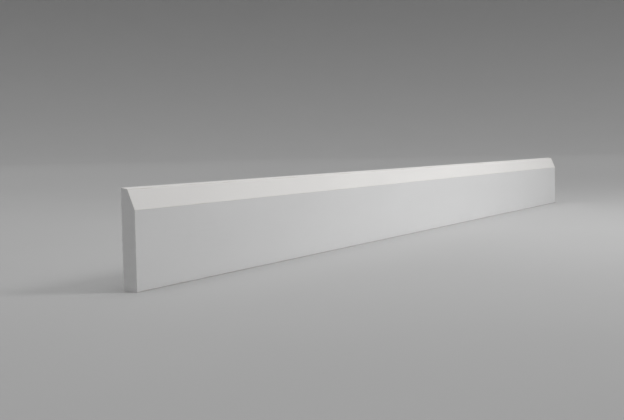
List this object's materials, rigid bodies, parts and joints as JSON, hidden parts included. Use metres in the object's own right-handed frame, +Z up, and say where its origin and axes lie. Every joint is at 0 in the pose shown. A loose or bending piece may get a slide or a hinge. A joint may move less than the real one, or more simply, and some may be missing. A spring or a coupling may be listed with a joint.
{
  "type": "skirting board",
  "caption": "Straight skirting board with a steep chamfer along the top of its front face, a narrow top that falls slightly towards it and a flat back, fixed along the foot of an interior wall.",
  "frame": {"origin": "centre of the underside, on the floor line, half way along the length and half way through the thickness", "axes": "+X along the board, +Y from the moulded front face through the flat back to the wall, +Z up"},
  "size_m": [1.435, 0.015, 0.0948],
  "materials": {
    "white_primer": "satin white factory primer over medium density fibreboard, the sawn ends sealed in the same white"
  },
  "bodies": {
    "root": {"skirting_board": "white_primer"}
  },
  "joints": []
}
